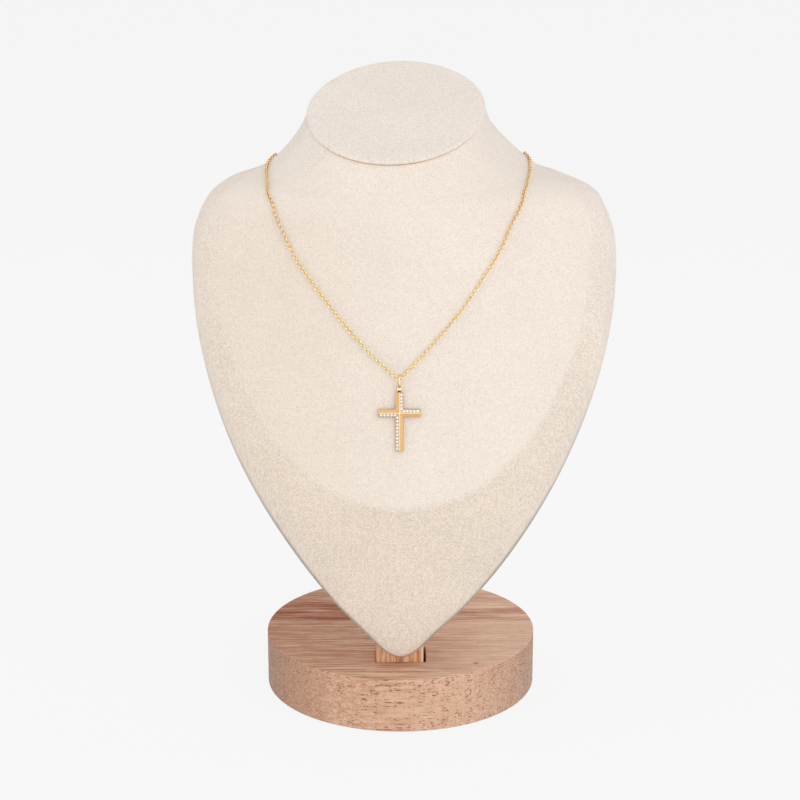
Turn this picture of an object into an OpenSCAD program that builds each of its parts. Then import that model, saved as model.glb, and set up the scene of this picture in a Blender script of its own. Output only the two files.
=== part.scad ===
// Cross necklace on a linen neck bust with a wooden foot.
// Millimetres, +Z up. The origin is the middle of the foot's underside,
// the bust looks towards -Y and its right hand in the view is +X.

/* [Foot] */
// Diameter of the wooden disc
base_d = 130; // [124:1:136]
// Thickness of the wooden disc
base_t = 26; // [24:0.5:28]
// Chamfer on the disc's rims
base_edge = 0.6; // [0.2:0.1:1.5]

/* [Post] */
// Width of the upright
post_w = 22.4; // [20:0.1:22.4]
// Depth of the upright, front to back
post_depth = 18; // [14:0.5:20]
// How far the upright stands left of the middle of its mortise
post_shift = 0.5; // [0:0.1:0.6]
// Height of the upright's top over the floor
post_top = 78; // [66:1:84]
// Depth of the mortise in the disc
mortise_depth = 20; // [10:1:22]

/* [Bust] */
// Width over the shoulders
bust_w = 201; // [197:1:205]
// Thickness of the padded disc that closes the neck
cap_t = 2.2; // [1.6:0.1:3]

/* [Chain] */
// Width over the chain's links
chain_d = 1.8; // [1.6:0.1:1.9]
// Clearance between the chain and the linen
chain_gap = 0.25; // [0.2:0.05:0.3]

/* [Jump ring] */
// Wire of the jump ring
ring_wire = 0.6; // [0.5:0.05:0.65]
// Radius of the ring's two round ends, on the wire's centre line
ring_r = 1.35; // [1.3:0.05:1.45]
// Length of the ring's straight sides
ring_side = 2.35; // [2:0.05:2.6]

/* [Cross] */
// Width of each arm
arm_w = 3.8; // [3.6:0.1:4.2]
// Length of the upper arm, from the crossing
arm_up = 9.5; // [9.2:0.1:11]
// Length of each side arm
arm_side = 9.75; // [9.2:0.05:11]
// Length of the lower arm
arm_down = 17.6; // [17.2:0.1:20]
// Height of the ridge in front of the middle plane
ridge_front = 1; // [0.9:0.05:1.2]
// Height of the arms' outer edges in front of the middle plane
edge_front = 0.1; // [0:0.05:0.3]
// Distance of the flat back behind the middle plane
cross_back = 0.8; // [0.7:0.05:0.9]
// How far the cross leans back, in degrees from upright
cross_lean = 13.3; // [13.2:0.1:15]

/* [Stones] */
// Diameter of a stone
stone_d = 1.3; // [1.1:0.05:1.35]
// Distance between neighbouring stones
stone_pitch = 1.58; // [1.52:0.01:1.6]
// Distance of a row of stones from the ridge
stone_row = 0.98; // [0.95:0.01:1]
// Distance of the first stone from the crossing
stone_first = 2.05; // [2:0.05:2.1]

/* [Hidden] */
fit = 0.2;
linen = "#e9dccb";
wood = "#cba286";
gold = "#e3b04b";
clear = "#eef3fa";

// Sections of the bust, from the tip to the neck. Depths are along Y.
// LEVEL height, HALF half width, MID sideways shift, FRONT foremost depth,
// SIDE depth of the widest point, BACK rearmost depth, SLOPE forward tilt of
// the section, NF and NB roundness of the front and back halves.
LEVEL = 0; HALF = 1; MID = 2; FRONT = 3; SIDE = 4; BACK = 5; SLOPE = 6; NF = 7; NB = 8;
SECTIONS = [
    [ 31.0,   4.5,  0.0, -50.0, -46.5, -44.0, 0.00, 2.0, 2.0],
    [ 33.5,   9.0,  0.0, -51.0, -45.0, -42.5, 0.00, 2.1, 3.0],
    [ 40.0,  16.0,  0.0, -51.0, -43.0, -39.0, 0.00, 2.2, 4.0],
    [ 55.0,  32.4,  0.6, -50.0, -38.0, -32.5, 0.00, 2.2, 5.0],
    [ 75.0,  50.1,  1.0, -48.0, -30.0, -24.0, 0.00, 2.2, 5.0],
    [100.0,  67.5,  1.0, -44.5, -21.5, -14.0, 0.00, 2.2, 5.0],
    [125.0,  81.1,  1.0, -38.5, -12.0,  -4.0, 0.00, 2.2, 5.0],
    [150.0,  91.1,  1.3, -32.0,  -2.0,   6.5, 0.00, 2.2, 5.0],
    [175.0,  97.7,  1.6, -25.5,   7.5,  17.0, 0.00, 2.2, 5.0],
    [200.0, 100.5,  1.8, -19.0,  17.0,  27.0, 0.00, 2.2, 4.5],
    [218.0,  99.7,  1.6, -15.0,  21.5,  33.0, 0.00, 2.2, 4.0],
    [230.0,  95.6,  1.4, -12.5,  24.5,  37.5, 0.02, 2.1, 3.5],
    [238.0,  90.0,  1.1, -11.0,  26.5,  41.0, 0.06, 2.0, 3.0],
    [244.0,  78.0, -2.0,  -9.5,  28.0,  45.0, 0.12, 2.0, 2.7],
    [246.5,  69.0, -2.4,  -9.2,  28.6,  46.7, 0.16, 2.0, 2.6],
    [249.0,  63.6, -1.3,  -9.0,  29.0,  48.5, 0.20, 2.0, 2.5],
    [256.0,  54.4, -1.8,  -8.5,  29.5,  54.0, 0.32, 2.0, 2.2],
    [265.0,  46.0, -2.6,  -8.8,  29.0,  60.0, 0.43, 2.0, 2.0],
    [274.0,  41.7, -2.1,  -9.0,  28.0,  63.2, 0.52, 2.0, 1.95]
];
last = len(SECTIONS) - 1;
neck_slope = SECTIONS[last][SLOPE];
// Sideways tilt of the neck's cut, the right side a little higher
neck_roll = 0.045;
ring_points = 56;
ring_steps = 3;
widen = bust_w / (2 * max([for (s = SECTIONS) s[HALF]]));
// Steps over which the direction square to the linen is taken
way_step = 0.5;
level_step = 0.3;

// Smooth value of one column between two sections
function steepness(i, c) = let (a = max(i - 1, 0), b = min(i + 1, last))
    (SECTIONS[b][c] - SECTIONS[a][c]) / (SECTIONS[b][LEVEL] - SECTIONS[a][LEVEL]);
function interval(level, i = 0) =
    i >= last - 1 || level < SECTIONS[i + 1][LEVEL] ? i : interval(level, i + 1);
function blend_value(level, c) =
    let (i = interval(level),
         h = SECTIONS[i + 1][LEVEL] - SECTIONS[i][LEVEL],
         t = (level - SECTIONS[i][LEVEL]) / h)
    (2 * t^3 - 3 * t^2 + 1) * SECTIONS[i][c] + (t^3 - 2 * t^2 + t) * h * steepness(i, c)
    + (3 * t^2 - 2 * t^3) * SECTIONS[i + 1][c] + (t^3 - t^2) * h * steepness(i + 1, c);
function section(level) = [level, for (c = [HALF:NB]) blend_value(level, c) * (c == HALF ? widen : 1)];
function signed_pow(v, e) = sign(v) * pow(abs(v), e);

// Point of a section at a way round it: 0 right, 90 back, 180 left, 270 front
function section_point(s, way, out = 0) =
    let (n = way > 180 ? s[NF] : s[NB],
         reach = out + (way > 180 ? s[SIDE] - s[FRONT] : s[BACK] - s[SIDE]),
         x = (s[HALF] + out) * signed_pow(cos(way), 2 / n),
         y = reach * signed_pow(sin(way), 2 / n))
    [s[MID] + x, s[SIDE] + y, s[LEVEL] + s[SLOPE] * y + neck_roll * s[SLOPE] / neck_slope * x];
function bust_point(way, level) = section_point(section(level), way);

function unit(v) = v / norm(v);
function bust_normal(way, level) =
    unit(cross(bust_point(way + way_step, level) - bust_point(way - way_step, level),
               bust_point(way, level + level_step) - bust_point(way, level - level_step)));

// Solid through rings of equally many points, closed with a flat face at both ends
module ring_solid(rings) {
    n = len(rings[0]);
    top = (len(rings) - 1) * n;
    polyhedron(
        points = [for (r = rings) each r],
        faces = [
            [for (j = [0:n - 1]) j],
            for (i = [0:len(rings) - 2], j = [0:n - 1])
                let (a = i * n + j, b = i * n + (j + 1) % n) each [[a, a + n, b], [b, a + n, b + n]],
            [for (j = [n - 1:-1:0]) top + j]
        ],
        convexity = 6);
}

// Foot and post
post_front = -43.9;
mortise_w = post_w + 2 * (post_shift + fit);

module base() {
    r = base_d / 2;
    color(wood) difference() {
        rotate_extrude($fn = 120)
            polygon([[0, 0], [r - base_edge, 0], [r, base_edge], [r, base_t - base_edge],
                     [r - base_edge, base_t], [0, base_t]]);
        translate([-mortise_w / 2, post_front - fit, base_t - mortise_depth])
            cube([mortise_w, post_depth + 2 * fit, mortise_depth + 1]);
    }
}

module post_block(grow = 0) {
    bottom = base_t - mortise_depth + fit;
    translate([-post_w / 2 - post_shift - grow, post_front - grow, bottom])
        cube([post_w + 2 * grow, post_depth + 2 * grow, post_top - bottom + grow]);
}

module post() {
    color(wood) post_block();
}

// Bust
levels = [for (i = [0:last - 1], k = [0:ring_steps - 1])
              SECTIONS[i][LEVEL] + (SECTIONS[i + 1][LEVEL] - SECTIONS[i][LEVEL]) * k / ring_steps,
          SECTIONS[last][LEVEL]];
function section_ring(s, out = 0, lift = [0, 0, 0]) =
    [for (j = [0:ring_points - 1]) section_point(s, 360 * j / ring_points, out) + lift];

module bust() {
    color(linen) difference() {
        ring_solid([for (l = levels) section_ring(section(l))]);
        post_block(fit);
    }
}

// Padded disc on the neck, its rim from the bottom up: OUT beyond the neck's edge,
// RISE as a share of its thickness
OUT = 0; RISE = 1;
CAP_EDGE = [[-0.1, 0], [0.35, 0.25], [0.3, 0.6], [-0.2, 0.87], [-1.1, 1]];
cut_normal = unit([-neck_roll, -neck_slope, 1]);

module neck_cap() {
    s = section(SECTIONS[last][LEVEL]);
    color(linen) ring_solid([for (e = CAP_EDGE)
        section_ring(s, e[OUT], cut_normal * (fit + e[RISE] * cap_t))]);
}

// Chain. Its route goes round the neck on the linen: WAY round the section,
// LEVEL of the section, LIFT off the linen. It starts and ends at the clasp.
clasp_level = 249.5;
clasp_half = 4.9;
apex_lift = 0.8;
ROUTE_LEFT = [
    [107.0, 249.8, 0], [124.0, 249.6, 0], [138.0, 249.5, 0], [147.0, 249.5, 0], [154.0, 249.9, 0],
    [160.0, 250.9, 0], [165.0, 251.7, 0], [171.0, 251.6, 0], [177.0, 250.9, 0], [184.7, 250.3, 0],
    [200.0, 248.2, 0], [218.0, 244.8, 0], [226.0, 239.9, 0], [231.5, 233.2, 0], [238.3, 222.2, 0],
    [245.3, 206.0, 0], [252.3, 191.0, 0], [260.1, 175.0, 0], [265.4, 165.5, 0], [267.4, 162.0, 0.4]
];
ROUTE_APEX = [269.2, 159.9, apex_lift];
ROUTE_RIGHT = [
    [270.4, 162.0, 0.4], [271.9, 165.5, 0], [276.4, 175.0, 0], [283.7, 191.0, 0], [290.1, 207.0, 0],
    [296.4, 222.2, 0], [301.5, 231.2, 0], [308.4, 238.8, 0], [319.1, 243.7, 0], [336.0, 247.0, 0],
    [344.6, 248.7, 0], [351.0, 249.6, 0], [357.0, 250.0, 0], [363.0, 250.3, 0], [368.0, 250.6, 0],
    [373.0, 250.5, 0], [378.0, 249.8, 0], [384.0, 249.2, 0], [391.0, 249.1, 0], [403.0, 249.3, 0],
    [418.0, 249.6, 0], [434.0, 249.7, 0]
];
// Way round the section of the chain's two ends, beside the clasp
clasp_section = section(clasp_level);
end_way = acos(pow(clasp_half / clasp_section[HALF], clasp_section[NB] / 2));
ROUTE = [[180 - end_way, clasp_level, 0], each ROUTE_LEFT, ROUTE_APEX, each ROUTE_RIGHT,
         [360 + end_way, clasp_level, 0]];
route_steps = 3;
tube_sides = 8;

function catmull(p, q, r, s, t) =
    0.5 * (2 * q + (r - p) * t + (2 * p - 5 * q + 4 * r - s) * t^2 + (3 * q - p - 3 * r + s) * t^3);
function route_at(u) =
    let (n = len(ROUTE) - 1, i = min(floor(u), n - 1))
    catmull(ROUTE[max(i - 1, 0)], ROUTE[i], ROUTE[i + 1], ROUTE[min(i + 2, n)], u - i);
function wrapped(way) = (way + 360) % 360;
function chain_point(r) =
    bust_point(wrapped(r[0]), r[1])
    + bust_normal(wrapped(r[0]), r[1]) * (chain_d / 2 + chain_gap + r[2]);
function chain_ring(u) =
    let (n = len(ROUTE) - 1,
         du = 0.05,
         here = route_at(u),
         along = unit(chain_point(route_at(min(u + du, n))) - chain_point(route_at(max(u - du, 0)))),
         across = unit(cross(bust_normal(wrapped(here[0]), here[1]), along)),
         away = cross(along, across))
    [for (j = [0:tube_sides - 1])
        chain_point(here) + chain_d / 2 * (across * cos(360 * j / tube_sides)
                                           + away * sin(360 * j / tube_sides))];

module chain() {
    rings = (len(ROUTE) - 1) * route_steps;
    color(gold) ring_solid([for (i = [0:rings]) chain_ring(i / route_steps)]);
}

// Clasp: a closed spring ring with an eye on either side, flat on the back of the neck
clasp_r = 2.35;
clasp_wire = 1.1;
eyelet_r = 0.75;
eyelet_wire = 0.6;

module torus(r, wire) {
    rotate_extrude($fn = 64) translate([r, 0]) circle(d = wire, $fn = 32);
}

module clasp() {
    away = bust_normal(90, clasp_level);
    seat = bust_point(90, clasp_level) + away * (clasp_wire / 2 + fit);
    eyelet_x = clasp_half - fit - eyelet_r - eyelet_wire / 2;
    color(gold) translate(seat) rotate([atan2(away.z, away.y) - 90, 0, 0]) {
        torus(clasp_r, clasp_wire);
        for (side = [-1, 1]) translate([side * eyelet_x, 0, 0]) torus(eyelet_r, eyelet_wire);
    }
}

// The jump ring and the cross share a frame whose origin is the pivot, the centre
// of the ring's lower end. The ring's wire lies in the frame's YZ plane.
apex = chain_point(ROUTE_APEX);
ring_axis = [0, sin(cross_lean), cos(cross_lean)];
pivot = apex - ring_side * ring_axis;

module at_pivot() {
    translate(pivot) rotate([-cross_lean, 0, 0]) children();
}

module ring_end() {
    rotate([0, 90, 0]) rotate([0, 0, 90])
        rotate_extrude(angle = 180, $fn = 64) translate([ring_r, 0]) circle(d = ring_wire, $fn = 32);
}

module jump_ring() {
    color(gold) at_pivot() {
        translate([0, 0, ring_side]) ring_end();
        mirror([0, 0, 1]) ring_end();
        for (side = [-1, 1]) translate([0, side * ring_r, 0])
            cylinder(d = ring_wire, h = ring_side, $fn = 32);
    }
}

// Cross: four ridged arms, a thin waist and the soldered eye that hangs on the ring
eye_d = 2.4;
eye_bore = 1.2;
eye_t = 0.75;
eye_play = 0.18;
// Distance of the eye's bore below the pivot
eye_drop = ring_r + eye_bore / 2 - ring_wire / 2 - eye_play;
// Distances of the cross's top and of the crossing below the eye's bore
eye_to_cross = 2.58;
crossing_drop = eye_to_cross + arm_up;
// How far the eye runs on below its bore, and the waist that carries it
eye_end = 0.57;
waist_w = 1.2;
waist_front = 0.1;
waist_back = 0.32;
waist_root = 0.5;
// Arms: TILT from the upper arm, LENGTH from the crossing
TILT = 0; LENGTH = 1;
ARMS = [[0, arm_up], [90, arm_side], [180, arm_down], [270, arm_side]];
face_angle = atan((ridge_front - edge_front) / (arm_w / 2));

// Stones, row by row: COUNT, FIRST place on the cross, STEP to the next, TURN of the face
COUNT = 0; FIRST = 1; STEP = 2; TURN = 3;
STONE_ROWS = [
    [ 5, [ stone_row,    stone_first], [0,  stone_pitch], [0, 0,  face_angle]],
    [ 5, [ stone_first,  stone_row],   [ stone_pitch, 0], [-face_angle, 0, 0]],
    [ 5, [-stone_first, -stone_row],   [-stone_pitch, 0], [ face_angle, 0, 0]],
    [10, [-stone_row,   -stone_first], [0, -stone_pitch], [0, 0, -face_angle]]
];
// Every stone in turn: PLACE on the cross, FACE as its turn
PLACE = 0; FACE = 1;
STONES = [for (row = STONE_ROWS, k = [0:row[COUNT] - 1]) [row[FIRST] + k * row[STEP], row[TURN]]];
stone_front = ridge_front - stone_row * tan(face_angle);
seat_d = stone_d + 0.1;
seat_depth = 0.6;

module at_crossing() {
    at_pivot() translate([0, 0, -eye_drop - crossing_drop]) children();
}

// Puts a child on the arm's face, its +Z pointing out of the face
module on_face(place, turn) {
    translate([place.x, -stone_front, place.y]) rotate(turn) rotate([90, 0, 0]) children();
}

module arm(length) {
    linear_extrude(length)
        polygon([[-arm_w / 2, cross_back], [arm_w / 2, cross_back], [arm_w / 2, -edge_front],
                 [0, -ridge_front], [-arm_w / 2, -edge_front]]);
}

module eye() {
    translate([0, eye_t / 2, crossing_drop]) rotate([90, 0, 0]) difference() {
        union() {
            cylinder(d = eye_d, h = eye_t, $fn = 48);
            translate([0, -eye_end, 0]) cylinder(d = eye_d, h = eye_t, $fn = 48);
            translate([-eye_d / 2, -eye_end, 0]) cube([eye_d, eye_end, eye_t]);
        }
        translate([0, 0, -1]) cylinder(d = eye_bore, h = eye_t + 2, $fn = 32);
    }
}

module waist() {
    gap = eye_to_cross - eye_end - eye_d / 2;
    translate([-waist_w / 2, waist_front, arm_up - waist_root])
        cube([waist_w, waist_back - waist_front, gap + 2 * waist_root]);
}

module cross_piece() {
    color(gold) at_crossing() {
        difference() {
            union() for (a = ARMS) rotate([0, a[TILT], 0]) arm(a[LENGTH]);
            for (s = STONES) on_face(s[PLACE], s[FACE])
                translate([0, 0, -seat_depth]) cylinder(d = seat_d, h = seat_depth + 1, $fn = 24);
        }
        eye();
        waist();
    }
}

// Stone: an eight-sided table, a crown and an underside between sixteen girdle points
table_d = 0.58 * stone_d;
crown_h = 0.2;
girdle_h = 0.04;
under_h = 0.46;
stone_sink = 0.06;

module brilliant() {
    g = 16;
    polyhedron(
        points = [[0, 0, -under_h],
                  for (h = [0, girdle_h], j = [0:g - 1]) [stone_d / 2 * cos(360 * j / g),
                                                          stone_d / 2 * sin(360 * j / g), h],
                  for (j = [0:2:g - 1]) [table_d / 2 * cos(360 * j / g),
                                         table_d / 2 * sin(360 * j / g), girdle_h + crown_h]],
        faces = [
            for (j = [0:g - 1]) let (a = 1 + j, b = 1 + (j + 1) % g)
                each [[0, b, a], [a, b, b + g], [a, b + g, a + g]],
            for (j = [0:2:g - 1])
                let (a = 1 + g + j, b = a + 1, c = 1 + g + (j + 2) % g,
                     t = 1 + 2 * g + j / 2, u = 1 + 2 * g + (j / 2 + 1) % (g / 2))
                each [[a, b, t], [t, b, u], [b, c, u]],
            [for (j = [0:g / 2 - 1]) 1 + 2 * g + j]
        ]);
}

module stone(i) {
    color(clear) at_crossing() on_face(STONES[i][PLACE], STONES[i][FACE])
        translate([0, 0, -stone_sink]) brilliant();
}

function stone_name(i) = str("stone_", i < 9 ? "0" : "", i + 1);
stone_count = len(STONES);

base();
post();
bust();
neck_cap();
chain();
clasp();
jump_ring();
cross_piece();  // cross
for (i = [0:stone_count - 1])
    stone(i);
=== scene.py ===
"""Looks of a cross necklace on a linen neck bust with a wooden foot.

Lengths are in millimetres until a mesh is made in metres. Sizes that the solids have too are
as in the part's source.
"""

import math
from functools import partialmethod

import bmesh
import bpy
import numpy as np
from mathutils import Matrix, Vector


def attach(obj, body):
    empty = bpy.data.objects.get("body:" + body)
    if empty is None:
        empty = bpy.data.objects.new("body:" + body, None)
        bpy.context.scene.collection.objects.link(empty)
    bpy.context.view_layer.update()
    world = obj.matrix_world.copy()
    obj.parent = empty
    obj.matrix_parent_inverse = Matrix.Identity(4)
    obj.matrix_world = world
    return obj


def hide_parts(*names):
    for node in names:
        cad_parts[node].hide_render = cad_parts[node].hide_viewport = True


MM = 0.001
X, Y, Z = range(3)
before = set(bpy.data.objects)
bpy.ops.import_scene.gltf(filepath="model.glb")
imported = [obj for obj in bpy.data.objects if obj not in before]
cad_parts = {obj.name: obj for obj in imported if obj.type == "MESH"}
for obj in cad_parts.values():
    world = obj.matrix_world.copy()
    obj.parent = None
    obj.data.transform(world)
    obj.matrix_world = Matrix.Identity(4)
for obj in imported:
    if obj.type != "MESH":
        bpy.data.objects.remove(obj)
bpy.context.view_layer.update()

# Foot and post
BASE_D = 130
BASE_T = 26
BASE_ROUND = 0.4
BASE_SIDES = 180
FIT = 0.2
POST_W = 22.4
POST_DEPTH = 18
POST_SHIFT = 0.5
POST_TOP = 78
POST_FRONT = -43.9
POST_BACK = POST_FRONT + POST_DEPTH
POST_ROUND = 0.35
POST_RIGHT = POST_W / 2 - POST_SHIFT
POST_LEFT = -POST_W / 2 - POST_SHIFT
MORTISE_DEPTH = 20
MORTISE_W = POST_W + 2 * (POST_SHIFT + FIT)
MORTISE_EDGE = 0.25
# How far a cutting tool stands out of what it cuts
CUT_MARGIN = 0.5

# Sections of the bust: level, half width, sideways shift, foremost depth, depth of the widest
# point, rearmost depth, forward tilt, roundness of the front and of the back
LEVEL, HALF, MID, FRONT, SIDE, BACK, SLOPE, NF, NB = range(9)
SECTIONS = np.array([
    [31, 4.5, 0, -50, -46.5, -44, 0, 2, 2],
    [33.5, 9, 0, -51, -45, -42.5, 0, 2.1, 3],
    [40, 16, 0, -51, -43, -39, 0, 2.2, 4],
    [55, 32.4, 0.6, -50, -38, -32.5, 0, 2.2, 5],
    [75, 50.1, 1, -48, -30, -24, 0, 2.2, 5],
    [100, 67.5, 1, -44.5, -21.5, -14, 0, 2.2, 5],
    [125, 81.1, 1, -38.5, -12, -4, 0, 2.2, 5],
    [150, 91.1, 1.3, -32, -2, 6.5, 0, 2.2, 5],
    [175, 97.7, 1.6, -25.5, 7.5, 17, 0, 2.2, 5],
    [200, 100.5, 1.8, -19, 17, 27, 0, 2.2, 4.5],
    [218, 99.7, 1.6, -15, 21.5, 33, 0, 2.2, 4],
    [230, 95.6, 1.4, -12.5, 24.5, 37.5, 0.02, 2.1, 3.5],
    [238, 90, 1.1, -11, 26.5, 41, 0.06, 2, 3],
    [244, 78, -2, -9.5, 28, 45, 0.12, 2, 2.7],
    [246.5, 69, -2.4, -9.2, 28.6, 46.7, 0.16, 2, 2.6],
    [249, 63.6, -1.3, -9, 29, 48.5, 0.20, 2, 2.5],
    [256, 54.4, -1.8, -8.5, 29.5, 54, 0.32, 2, 2.2],
    [265, 46, -2.6, -8.8, 29, 60, 0.43, 2, 2],
    [274, 41.7, -2.1, -9, 28, 63.2, 0.52, 2, 1.95],
])
NECK_LEVEL = SECTIONS[-1, LEVEL]
TIP_LEVEL = SECTIONS[0, LEVEL]
NECK_SLOPE = SECTIONS[-1, SLOPE]
NECK_ROLL = 0.045
# Steps over which the direction square to the linen is taken
WAY_STEP = 0.5
LEVEL_STEP = 0.3
# Rounding below the lowest section, and the rings it has, as shares of that section
TIP_DROP = 0.56
TIP_RINGS = (0.04, 0.3, 0.55, 0.78, 0.92)
# Rings of the neck's cut under the cap: distance out from the last section, and lift
NECK_RINGS = [(-0.15, 0.10), (-0.6, 0.15), (-3, 0.15), (-12, 0.1), (-24, 0.1)]
# Steps in a ring from the back's middle to the front's, and how many rings the bust has
RING_SIDE_STEPS = 104
RING_COUNT = 150
# Steps in which a section and a side are traced
TRACE_STEPS = 1500
LEVEL_STEPS = 1200
# Cap: distance out from the neck's section and height of its rim, its crown's rise, and the
# crown's rings as shares of the rim
CAP_PROFILE = [(-6, 0), (-1.2, 0), (-0.45, 0.03), (0, 0.18), (0.28, 0.5), (0.38, 0.95),
               (0.28, 1.4), (-0.05, 1.82), (-0.6, 2.12), (-1.5, 2.33), (-3, 2.48)]
CAP_CROWN = 0.56
CROWN_RINGS = (0.9, 0.78, 0.64, 0.5, 0.36, 0.22, 0.08)
# Brown edge under the cap: radius, height and distance out of its middle, sides
SEAM_R = 0.17
SEAM_RISE = 0.1
SEAM_OUT = 0.05
SEAM_SIDES = 8

# Chain: its route as way round the section, level and lift off the linen
CHAIN_D = 1.8
CHAIN_GAP = 0.25
APEX_LIFT = 0.8
CLASP_LEVEL = 249.5
CLASP_HALF = 4.9
ROUTE_LEFT = [
    (107, 249.8, 0), (124, 249.6, 0), (138, 249.5, 0), (147, 249.5, 0), (154, 249.9, 0),
    (160, 250.9, 0), (165, 251.7, 0), (171, 251.6, 0), (177, 250.9, 0), (184.7, 250.3, 0),
    (200, 248.2, 0), (218, 244.8, 0), (226, 239.9, 0), (231.5, 233.2, 0), (238.3, 222.2, 0),
    (245.3, 206, 0), (252.3, 191, 0), (260.1, 175, 0), (265.4, 165.5, 0), (267.4, 162, 0.4),
]
ROUTE_APEX = (269.2, 159.9, APEX_LIFT)
ROUTE_RIGHT = [
    (270.4, 162, 0.4), (271.9, 165.5, 0), (276.4, 175, 0), (283.7, 191, 0), (290.1, 207, 0),
    (296.4, 222.2, 0), (301.5, 231.2, 0), (308.4, 238.8, 0), (319.1, 243.7, 0), (336, 247, 0),
    (344.6, 248.7, 0), (351, 249.6, 0), (357, 250, 0), (363, 250.3, 0), (368, 250.6, 0),
    (373, 250.5, 0), (378, 249.8, 0), (384, 249.2, 0), (391, 249.1, 0), (403, 249.3, 0),
    (418, 249.6, 0), (434, 249.7, 0),
]
ROUTE_STEPS = 24
LINK_WIRE = 0.46
LINK_LENGTH = 2.18
LINK_PITCH = 1.262
# Points round a link and round its wire
LINK_TURNS = 28
WIRE_TURNS = 8
# Turn of every other link about the chain, how far the chain twists from there and over what
# length, how that swells and fades, and the play of single links
LINK_TURN = 45
LINK_TWIST = 38
TWIST_LENGTH = 70
TWIST_PHASE = 0.7
SWELL_RATE = 0.42
SWELL_PHASE = 5
LINK_JITTER = 5
# Gap between the links and the linen, how far the first link reaches into the clasp, and how
# far ahead and behind a link looks for the chain's direction
LINK_GAP = 0.06
LINK_REACH = 0.16
LINK_LOOK = 0.6

# Jump ring and cross
RING_WIRE = 0.6
RING_R = 1.35
RING_SIDE = 2.35
CROSS_LEAN = 13.3
ARM_W = 3.8
ARM_UP = 9.5
ARM_SIDE = 9.75
ARM_DOWN = 17.6
RIDGE_FRONT = 1
EDGE_FRONT = 0.1
CROSS_BACK = 0.8
CROSS_ROUND = 0.24
EYE_D = 2.4
EYE_BORE = 1.2
EYE_T = 0.75
EYE_ROUND = 0.3
EYE_PLAY = 0.18
EYE_DROP = RING_R + EYE_BORE / 2 - RING_WIRE / 2 - EYE_PLAY
EYE_TO_CROSS = 2.58
CROSSING_DROP = EYE_TO_CROSS + ARM_UP
EYE_END = 0.57
EYE_SIDES = 48
BORE_SIDES = 36
# Flare of the eye's bore: distance out from the eye's face, and how much wider it is there
BORE_FLARE = [(0.3, 0.45), (-0.02, 0.13), (-0.15, 0)]
WAIST_W = 1.2
WAIST_FRONT = 0.1
WAIST_BACK = 0.32
WAIST_ROOT = 0.5
FACE_ANGLE = math.atan((RIDGE_FRONT - EDGE_FRONT) / (ARM_W / 2))
STONE_D = 1.3
STONE_PITCH = 1.58
STONE_ROW = 0.98
STONE_FIRST = 2.05
STONE_FRONT = RIDGE_FRONT - STONE_ROW * math.tan(FACE_ANGLE)
SEAT_D = STONE_D + 0.1
SEAT_DEPTH = 0.6
SEAT_RISE = 0.8
SEAT_SIDES = 30
# Beads between the stones: radius, and distance from the row's middle
GRAIN_R = 0.15
GRAIN_SIDE = 0.5
# Rows of stones: count, first place, step, turn of the face about its X and Z axes
STONE_ROWS = [
    (5, (STONE_ROW, STONE_FIRST), (0, STONE_PITCH), (0, FACE_ANGLE)),
    (5, (STONE_FIRST, STONE_ROW), (STONE_PITCH, 0), (-FACE_ANGLE, 0)),
    (5, (-STONE_FIRST, -STONE_ROW), (-STONE_PITCH, 0), (FACE_ANGLE, 0)),
    (10, (-STONE_ROW, -STONE_FIRST), (0, -STONE_PITCH), (0, -FACE_ANGLE)),
]

# Camera and lights, in metres and degrees. Lights: name, place, size, power, colour
LENS = 90
SENSOR = 36
CAMERA_PLACE = (-0.00025, -0.91353, 0.40067)
CAMERA_TILT = 74.147
CLIP = (0.05, 60)
LIGHT_TARGET = (0, 0, 0.16)
LIGHTS = [
    ("key", (0.85, -1.05, 1.22), (2, 2), 10.8, (1, 0.985, 0.965)),
    ("fill", (-1.7, -0.35, 0.9), (1.6, 1.6), 7.6, (1, 0.985, 0.97)),
    ("front", (0.1, -1.6, 0.45), (0.7, 0.7), 5.7, (1, 0.985, 0.97)),
    ("top", (0.1, 0.35, 1.4), (1, 0.8), 1.8, (1, 1, 1)),
]
FLOOR_SIDE = 15


def placed_object(name, data):
    made = bpy.data.objects.new(name, data)
    bpy.context.scene.collection.objects.link(made)
    return made


def make_camera():
    data = bpy.data.cameras.new("camera")
    data.lens = LENS
    data.sensor_width = SENSOR
    data.clip_start, data.clip_end = CLIP
    camera = placed_object("camera", data)
    camera.location = CAMERA_PLACE
    camera.rotation_euler = (math.radians(CAMERA_TILT), 0, 0)
    bpy.context.scene.camera = camera


def make_lights():
    for name, place, size, power, colour in LIGHTS:
        data = bpy.data.lights.new(name, "AREA")
        data.shape = "RECTANGLE"
        data.size, data.size_y = size
        data.energy = power
        data.color = colour
        light = placed_object(name, data)
        light.location = place
        aim = Vector(LIGHT_TARGET) - Vector(place)
        light.rotation_euler = aim.to_track_quat("-Z", "Y").to_euler()


# Shader nodes

class Field:
    """What a node's output gives at each point. It adds and multiplies like a plain number."""

    def __init__(self, socket):
        self.socket = socket
        self.tree = socket.id_data

    def calc(self, operation, *others):
        inputs = enumerate((self, *others))
        return field(self.tree, "Math", 0, inputs, operation=operation)

    __add__ = partialmethod(calc, "ADD")
    __sub__ = partialmethod(calc, "SUBTRACT")
    __mul__ = partialmethod(calc, "MULTIPLY")
    __truediv__ = partialmethod(calc, "DIVIDE")
    __pow__ = partialmethod(calc, "POWER")
    __abs__ = partialmethod(calc, "ABSOLUTE")


def set_inputs(node, inputs):
    """Gives a node's named or numbered sockets plain values or fields."""
    for socket, value in inputs.items():
        if isinstance(value, Field):
            node.id_data.links.new(value.socket, node.inputs[socket])
        else:
            node.inputs[socket].default_value = value


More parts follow.
